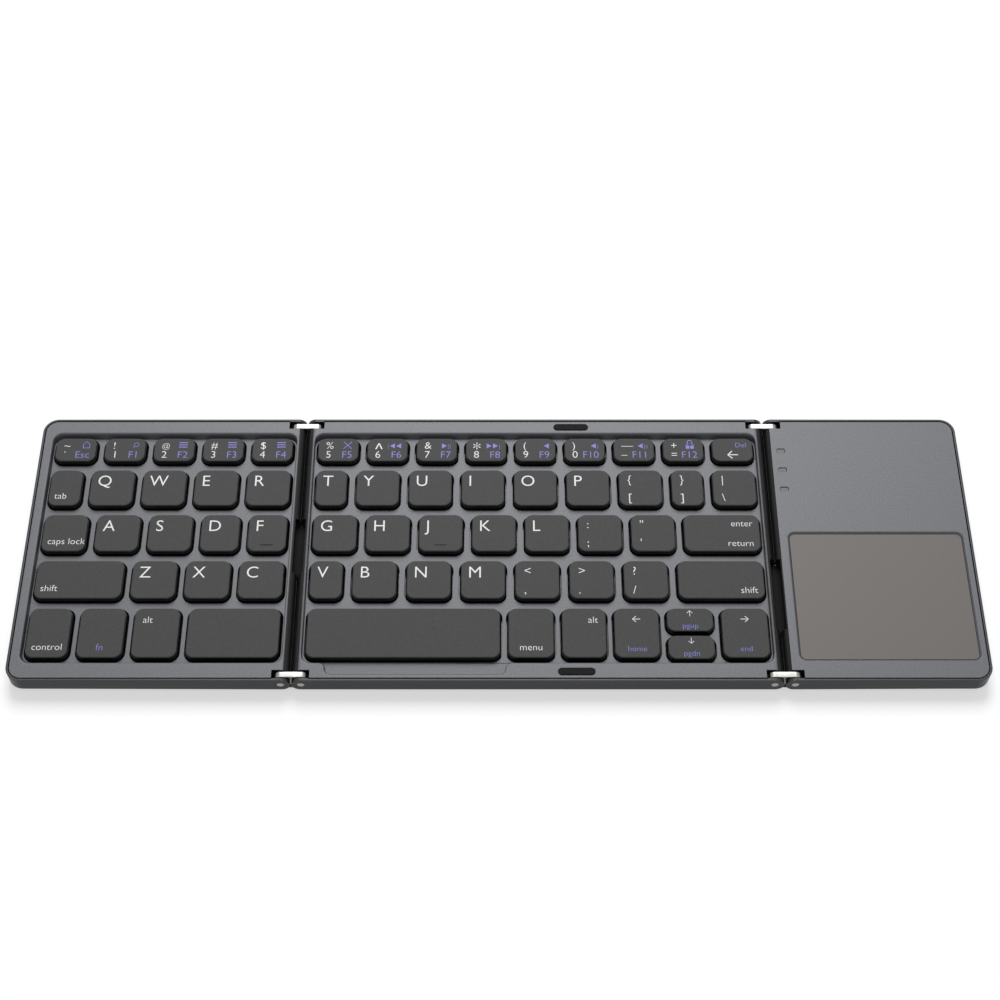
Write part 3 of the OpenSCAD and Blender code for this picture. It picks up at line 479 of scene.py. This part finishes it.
def slope_walls(piece, slopes):
    """Draws the foot of the well's walls in by its left, right, front and back slope in millimetres"""
    pick(piece, "VERT", is_well_foot)
    foot = [v.co.copy() for v in bmesh.from_edit_mesh(piece.data).verts if v.select]
    still, scale = [], []
    for axis in (0, 1):
        low, high = min(p[axis] for p in foot), max(p[axis] for p in foot)
        low_run, high_run = (run * mm for run in slopes[2 * axis:2 * axis + 2])
        still.append(low + (high - low) * low_run / (low_run + high_run))
        scale.append(1 - (low_run + high_run) / (high - low))
    bpy.ops.transform.resize(value=(*scale, 1), center_override=(*still, web_top))
    bpy.ops.object.mode_set(mode="OBJECT")


def frame_radius(edge):
    """The rim is well rounded towards the key well and lightly round the outside"""
    heights = [v.co.z for v in edge.verts]
    down = [face.normal for face in edge.link_faces if abs(face.normal.z) < 0.95]
    if min(heights) < frame_top - 0.02 * mm:
        return 0
    return well_edge if any(0.02 < normal.z < 0.9 for normal in down) else rim_edge


key_rows = [("y", sum(corner.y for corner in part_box(node)) / 2) for node in (
    "key_arrow_down", "key_right_shift", "key_enter", "keys_t_to_backslash", "keys_5_to_equals")]
for side, body, slopes in (
    ("left", "left_panel", (end_slope, hinge_slope, front_slope, back_slope)),
    ("centre", "centre_panel", (hinge_slope, hinge_slope, front_slope, back_slope)),
):
    key_frame = merged_copy(f"{side}_top_frame", f"{side}_key_frame", key_rows)
    slope_walls(key_frame, slopes)
    round_edges(key_frame, frame_radius, 3)
    dress(key_frame, lacquer, "top_shell", body, f"{side}_top_frame")
    paint_hinge_shade(key_frame)

# Touchpad cover
# A flat plate of the same lacquered ABS, with an opening for the touchpad and one for each window. Its
# hinge edge is round.
cover_edge = 0.14


def cover_radius(edge):
    """Only the edges of the top face are rounded"""
    return cover_edge if min(v.co.z for v in edge.verts) > frame_top - 0.02 * mm else 0


def middle_of(node):
    """The middle of the box round a CAD node"""
    return (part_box(node)[0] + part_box(node)[1]) / 2


touch_cover = merged_copy("right_top_cover", "touchpad_cover",
                          [("y", middle_of("touchpad_surface").y), ("x", middle_of("indicator_lenses").x)])
round_edges(touch_cover, cover_radius)
dress(touch_cover, lacquer, "top_shell", "right_panel", "right_top_cover")
paint_hinge_shade(touch_cover)

# Touchpad
# A smooth matt film on a stiff plate, warm grey, a little below the cover.
film = add_grain(new_finish("touchpad_film", {"Roughness": 0.5, "Metallic": 0.1}), 0.4,
                 "#5c5754", "#65605d", 0.003)
touchpad_edge = 0.1
touchpad = merged_copy("touchpad_surface", "touchpad_plate")
round_edges(touchpad, lambda edge: touchpad_edge)
dress(touchpad, film, "touchpad_face", "right_panel", "touchpad_surface")

# Indicator windows
# Three smoked clear windows that light up from below. Unlit, they look like the cover round them.
smoked = add_grain(new_finish("smoked_window", {"Roughness": 0.4}), 0.7, "#434448", "#4d4e52", 0.001)
window_edge = 0.12
windows = merged_copy("indicator_lenses", "indicator_windows")
round_edges(windows, lambda edge: window_edge)
dress(windows, smoked, "lens", "right_panel", "indicator_lenses")

# Hinge links and pins
# Each link is a bar of polished and plated steel with two holes. The turned pins pass through it and show
# their heads in the front and back faces.
polished = add_grain(new_finish("polished_plating", {"Metallic": 1, "Roughness": 0.3}), 2, "#868582",
                     "#949390", 0.001)
turned = add_grain(new_finish("turned_steel", {"Metallic": 1, "Roughness": 0.34}), 0.3,
                   "#a39f99", "#bdb9b2", 0.004)
link_edge = 0.22
pin_edge = 0.1
for side in ("left", "right"):
    links = merged_copy(f"{side}_hinge_links", f"{side}_link_bars")
    round_edges(links, lambda edge: link_edge, 3)
    dress(links, polished, "link_metal", f"{side}_links", f"{side}_hinge_links")
for side, body in (("left", "left_panel"), ("centre", "centre_panel"), ("right", "right_panel")):
    pins = merged_copy(f"{side}_hinge_pins", f"{side}_pins")
    round_edges(pins, lambda edge: pin_edge)
    dress(pins, turned, "steel", body, f"{side}_hinge_pins")

# Cable sleeves and flat cables
# A soft black rubber sleeve closes the gap between the round edges of a hinge, over a flat printed cable.
# Each is made as two halves, one from the middle of the hinge to each end, sliced across into rings.
soft_rubber = add_grain(new_finish("soft_black_rubber", {"Roughness": 0.72, "Specular IOR Level": 0.14}),
                        0.5, "#0f0f10", "#171718", 0.01)
cable_film = add_grain(new_finish("cable_film", {"Roughness": 0.28}), 0.6, "#131315", "#222226", 0.004,
                       (0.05, 1, 1))
bend_rings = 10
sleeve_edge = 0.25


def hinge_half(node, name, finish, middle, end):
    """The half of a sleeve or cable from the hinge's middle to its end, sliced across into rings"""
    low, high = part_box(node)
    bpy.ops.object.select_all(action="DESELECT")
    bpy.ops.mesh.primitive_cube_add(
        size=1, location=((middle + end) / 2, (low.y + high.y) / 2, (low.z + high.z) / 2),
        scale=(abs(end - middle), high.y - low.y, high.z - low.z))
    half = bpy.context.object
    half.name = name
    bpy.ops.object.transform_apply(location=True, rotation=True, scale=True)
    if high.z - low.z > 0.5 * mm:
        pick(half, "EDGE", lambda edge: all(abs(face.normal.x) < 0.1 for face in edge.link_faces))
        bpy.ops.mesh.bevel(offset=sleeve_edge * mm, segments=3, affect="EDGES")
        bpy.ops.object.mode_set(mode="OBJECT")
    for ring in range(1, bend_rings):
        pick(half, "FACE", lambda face: True)
        bpy.ops.mesh.bisect(plane_co=(middle + (end - middle) * ring / bend_rings, 0, 0), plane_no=(1, 0, 0))
        bpy.ops.object.mode_set(mode="OBJECT")
    smooth(half)
    half.data.materials.append(finish)
    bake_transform(half)
    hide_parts(node)


for side in ("left", "right"):
    for what, finish, slot in (("cable_sleeve", soft_rubber, "black_rubber"),
                               ("flat_cable", cable_film, "cable_film")):
        low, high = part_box(f"{side}_{what}")
        middle = (low.x + high.x) / 2
        outer, inner = (low.x, high.x) if side == "left" else (high.x, low.x)
        hinge_half(f"{side}_{what}", f"{side}_{what}_outer_half", finish, middle, outer)
        hinge_half(f"{side}_{what}", f"{side}_{what}_inner_half", finish, middle, inner)

# Key caps
# Moulded black ABS with polished sides. The top face has a fine matt texture and a softened edge, and the
# sides flare out to the foot. The sides are a darker black than the top, partly for their gloss and partly as
# painted shade. One cap is modelled, and the others are copies stretched between its corners.
cap_matt = add_grain(new_finish("textured_abs", {"Roughness": 0.6, "Specular IOR Level": 0.3}), 0.45,
                     "#363637", "#404041", 0.01)
# The polished sides, darker than the top partly as painted shade
glossy_shaded_cap_side = add_grain(new_finish("polished_abs_and_shade", {"Roughness": 0.16}), 0.6, "#0b0b0c", "#101011", 0.001)
cap_flare = 0.45
cap_corner = 2.6
cap_edge = 0.35
cap_roof = 0.9
cap_wall = 1.0
model_w = 14.0
model_d = 13.75
cap_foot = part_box("key_enter")[0].z
cap_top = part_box("key_enter")[1].z
cap_h = (cap_top - cap_foot) / mm

bpy.ops.object.select_all(action="DESELECT")
bpy.ops.mesh.primitive_cube_add(size=1, location=(0, 0, (cap_foot + cap_top) / 2),
                                scale=(model_w * mm, model_d * mm, cap_h * mm))
model_cap = bpy.context.object
bpy.ops.object.transform_apply(location=True, rotation=True, scale=True)
pick(model_cap, "EDGE", lambda edge: abs(edge.verts[0].co.z - edge.verts[1].co.z) > 1 * mm)
bpy.ops.mesh.bevel(offset=cap_corner * mm, segments=8, affect="EDGES")
bpy.ops.object.mode_set(mode="OBJECT")
pick(model_cap, "FACE", lambda face: face.normal.z < -0.9)
bpy.ops.transform.resize(value=(1 + 2 * cap_flare / model_w, 1 + 2 * cap_flare / model_d, 1))
bpy.ops.mesh.inset(thickness=cap_wall * mm)
bpy.ops.mesh.extrude_region_move(TRANSFORM_OT_translate={"value": (0, 0, (cap_h - cap_roof) * mm)})
bpy.ops.object.mode_set(mode="OBJECT")
pick(model_cap, "EDGE", lambda edge: min(v.co.z for v in edge.verts) > cap_top - 0.01 * mm)
bpy.ops.mesh.bevel(offset=cap_edge * mm, segments=3, affect="EDGES")
bpy.ops.object.mode_set(mode="OBJECT")
model_cap.data.materials.append(cap_matt)
model_cap.data.materials.append(glossy_shaded_cap_side)
# Tops get the matt grey, sides the darker black, which is partly painted shade
for face in model_cap.data.polygons:
    face.material_index = 0 if face.normal.z > 0.4 else 1


def solids_across(node):
    """Left and right end of each solid of a CAD node, from the spans of its faces"""
    mesh = nodes[node].data
    spans = []
    for face in mesh.polygons:
        across = [mesh.vertices[v].co.x for v in face.vertices]
        spans.append((min(across), max(across)))
    solids = []
    for low, high in sorted(spans):
        if solids and low <= solids[-1][1]:
            solids[-1][1] = max(high, solids[-1][1])
        else:
            solids.append([low, high])
    return solids


def key_tops(node):
    """Left, right, front and back edge of the top of each key in a CAD node"""
    low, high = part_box(node)
    flare = cap_flare * mm
    return [(x0 + flare, x1 - flare, low.y + flare, high.y - flare) for x0, x1 in solids_across(node)]


def stretched_cap(left, right, front, back):
    """A copy of the modelled cap whose corners are moved out to the corners of a key"""
    cap = bpy.data.objects.new("cap", model_cap.data.copy())
    bpy.context.scene.collection.objects.link(cap)
    for vertex in cap.data.vertices:
        place = vertex.co
        place.x = (right if place.x > 0 else left) + place.x - math.copysign(model_w * mm / 2, place.x)
        place.y = (back if place.y > 0 else front) + place.y - math.copysign(model_d * mm / 2, place.y)
    return cap


def joined(pieces, name):
    """Joins pieces into one"""
    bpy.ops.object.select_all(action="DESELECT")
    for piece in pieces:
        piece.select_set(True)
    bpy.context.view_layer.objects.active = pieces[0]
    if len(pieces) > 1:
        bpy.ops.object.join()
    pieces[0].name = name
    return pieces[0]


# A raised bar near the front of two of the keys, for the index fingers
homing_keys = {"keys_a_to_f": 3, "keys_g_to_quote": 2}
homing_size = (4.0, 0.5, 0.2)
homing_front = 2.3
homing_edge = 0.12


def homing_bar(top):
    """The bar on a key, with rounded edges"""
    length, width, height = homing_size
    bpy.ops.object.select_all(action="DESELECT")
    bpy.ops.mesh.primitive_cube_add(
        size=1, location=((top[0] + top[1]) / 2, top[2] + (homing_front + width / 2) * mm, cap_top),
        scale=(length * mm, width * mm, 2 * height * mm))
    bar = bpy.context.object
    bpy.ops.object.transform_apply(location=True, rotation=True, scale=True)
    pick(bar, "EDGE", lambda edge: max(v.co.z for v in edge.verts) > cap_top)
    bpy.ops.mesh.bevel(offset=homing_edge * mm, segments=3, affect="EDGES")
    bpy.ops.object.mode_set(mode="OBJECT")
    bar.data.materials.append(cap_matt)
    return bar


for node in key_nodes:
    tops = key_tops(node)
    caps = [stretched_cap(*top) for top in tops]
    if node in homing_keys:
        caps.append(homing_bar(tops[homing_keys[node]]))
    caps = joined(caps, node.replace("key", "cap", 1))
    smooth(caps)
    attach(caps, node + "_body")
    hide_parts(node)
bpy.data.objects.remove(model_cap)

# Legends
# Letters and signs are printed on the caps in white, and those of the function key in blue. Here each is
# a thin plate of ink on the face of its key.
white_ink = add_grain(new_finish("white_ink", {"Roughness": 0.5}), 0.4, "#f2f2f2", "#ffffff", 0.002)
blue_ink = add_grain(new_finish("blue_ink", {"Roughness": 0.5}), 0.4, "#7677cc", "#8889dc", 0.002)
inks = {"white": white_ink, "blue": blue_ink}
ink_thickness = 0.02 * mm
# Drawn in from both sides of a stroke of the font
stroke_thinning = 0.035 * mm
# Height of a capital of the font at size 1
capital = 0.69
letter_h = 4.1
word_h = 2.25
sign_h = 2.7
icon_h = 2.6
mark_h = 2.9
arrow_h = 2.5
blue_word_h = 1.85

# Places of a legend on a key: how it is aligned, then the distance of its side and of its foot from the
# key's edges. A foot that is negative is measured down from the back edge.
places = {
    "letter": ("LEFT", 2.1, -6.2, letter_h),
    "sign_over": ("LEFT", 2.5, -4.2, sign_h),
    "round_over": ("LEFT", 2.4, -4.0, sign_h * 0.72),
    "high_over": ("LEFT", 2.3, -6.2, sign_h * 1.6),
    "sign_under": ("LEFT", 2.5, 1.3, sign_h),
    "icon_over": ("RIGHT", 1.9, -4.0, 2.7),
    "play_over": ("RIGHT", 1.9, -3.9, 1.6),
    "icon_under": ("RIGHT", 1.9, 1.3, icon_h),
    "word_over": ("RIGHT", 1.9, -3.6, blue_word_h),
    "word_left": ("LEFT", 1.8, 2.6, word_h),
    "word_right": ("RIGHT", 2.1, 1.9, word_h),
    "word_middle": ("CENTER", 0, 2.5, word_h),
    "word_low": ("CENTER", 0, 2.2, blue_word_h),
    "word_top_left": ("LEFT", 2.6, -5.2, word_h),
    "word_top_right": ("RIGHT", 2.4, -5.2, word_h),
    "word_right_over": ("RIGHT", 2.1, -4.4, word_h),
    "mark_over": ("LEFT", 2.7, -5.1, mark_h),
    "mark_under": ("LEFT", 2.7, 1.7, mark_h),
    "arrow_top": ("CENTER", 0, -5.0, arrow_h),
    "arrow_over": ("CENTER", 0, -2.9, icon_h * 0.8),
    "arrow_under": ("CENTER", 0, 1.0, blue_word_h),
    "arrow_back": ("CENTER", 0, 0.9, arrow_h * 1.4),
}


def legend(top, words, place, ink):
    """A legend printed on a key, as thin closed plates"""
    align, side, foot, height = places[place]
    left, right, front, back = top
    across = {"LEFT": left + side * mm, "RIGHT": right - side * mm, "CENTER": (left + right) / 2}[align]
    up = front + foot * mm if foot > 0 else back + foot * mm
    bpy.ops.object.select_all(action="DESELECT")
    bpy.ops.object.text_add(location=(across, up, cap_top + 0.25 * ink_thickness))
    print_ = bpy.context.object
    print_.data.body = words
    print_.data.align_x = align
    print_.data.size = height * mm / capital
    print_.data.extrude = ink_thickness / 2
    print_.data.offset = -stroke_thinning
    print_.data.resolution_u = 4
    bpy.ops.object.convert(target="MESH")
    bpy.ops.object.transform_apply(location=True, rotation=True, scale=True)
    print_.data.materials.clear()
    print_.data.materials.append(inks[ink])
    return print_


def number_key(sign, digit, icon="", function=""):
    """Legends of a key of the number row"""
    over = {"@": "round_over", "*": "high_over", "^": "high_over"}.get(sign, "sign_over")
    return [(sign, over, "white"), (digit, "sign_under", "white"),
            (icon, "play_over" if "◀" in icon or "▶" in icon else "icon_over", "blue"),
            (function, "icon_under", "blue")]


legends = {
    "key_control": [[("control", "word_left", "white")]],
    "key_function": [[("fn", "word_middle", "blue")]],
    "key_left_alt": [[("alt", "word_top_left", "white")]],
    "key_left_shift": [[("shift", "word_left", "white")]],
    "keys_z_to_c": [[(letter, "letter", "white")] for letter in "ZXC"],
    "key_caps_lock": [[("caps lock", "word_left", "white")]],
    "keys_a_to_f": [[(letter, "letter", "white")] for letter in "ASDF"],
    "key_tab": [[("tab", "word_left", "white")]],
    "keys_q_to_r": [[(letter, "letter", "white")] for letter in "QWER"],
    "keys_escape_to_4": [
        number_key("~", "`", "⌂", "Esc"), number_key("!", "1", "⌕", "F1"),
        number_key("@", "2", "☰", "F2"), number_key("#", "3", "☰", "F3"),
        number_key("$", "4", "☰", "F4"),
    ],
    "key_menu": [[("menu", "word_middle", "white")]],
    "key_right_alt": [[("alt", "word_top_right", "white")]],
    "key_arrow_left": [[("←", "arrow_top", "white"), ("home", "word_low", "blue")]],
    "key_arrow_up": [[("↑", "arrow_over", "white"), ("pgup", "arrow_under", "blue")]],
    "key_arrow_down": [[("↓", "arrow_over", "white"), ("pgdn", "arrow_under", "blue")]],
    "key_arrow_right": [[("→", "arrow_top", "white"), ("end", "word_low", "blue")]],
    "keys_v_to_slash": [[(letter, "letter", "white")] for letter in "VBNM"] + [
        [(over, "mark_over", "white"), (under, "mark_under", "white")] for over, under in ("<,", ">.", "?/")],
    "key_right_shift": [[("shift", "word_right", "white")]],
    "keys_g_to_quote": [[(letter, "letter", "white")] for letter in "GHJKL"] + [
        [(over, "mark_over", "white"), (under, "mark_under", "white")] for over, under in (":;", "\"'")],
    "key_enter": [[("enter", "word_right_over", "white"), ("return", "word_right", "white")]],
    "keys_t_to_backslash": [[(letter, "letter", "white")] for letter in "TYUIOP"] + [
        [(over, "mark_over", "white"), (under, "mark_under", "white")]
        for over, under in ("{[", "}]", "|\\")],
    "keys_5_to_equals": [
        number_key("%", "5", "✕", "F5"), number_key("^", "6", "|◀◀", "F6"),
        number_key("&", "7", "▶||", "F7"), number_key("*", "8", "▶▶|", "F8"),
        number_key("(", "9", "◀", "F9"), number_key(")", "0", "◀)", "F10"),
        number_key("—", "–", "◀))", "F11"), number_key("+", "=", "\U0001f512", "F12"),
    ],
    "key_backspace": [[("←", "arrow_back", "white"), ("Del", "word_over", "blue")]],
}
for node, keys in legends.items():
    for ink in inks:
        prints = [
            legend(top, words, place, ink)
            for top, labels in zip(key_tops(node), keys)
            for words, place, colour in labels if colour == ink and words
        ]
        if prints:
            prints = joined(prints, f"{ink}_print_{node}")
            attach(prints, node + "_body")

# Screws, feet and bumpers
# Small turned screws hold the covers from below. Black rubber feet and the two bumper pads, on which the
# folded panels come to rest, are pressed into their seats.
foot_edge = 0.2
bumper_edge = 0.14


def foot_radius(edge):
    """Only the edge that a foot stands on is rounded"""
    return foot_edge if min(v.co.z for v in edge.verts) < 0.1 * mm else 0


for side, body in (("left", "left_panel"), ("centre", "centre_panel"), ("right", "right_panel")):
    paint(f"{side}_screws", turned)
    feet = merged_copy(f"{side}_feet", f"{side}_rubber_feet")
    round_edges(feet, foot_radius, 3)
    dress(feet, soft_rubber, "black_rubber", body, f"{side}_feet")
bumpers = merged_copy("bumper_pads", "rubber_bumpers")
round_edges(bumpers, lambda edge: bumper_edge, 3)
dress(bumpers, soft_rubber, "black_rubber", "centre_panel", "bumper_pads")
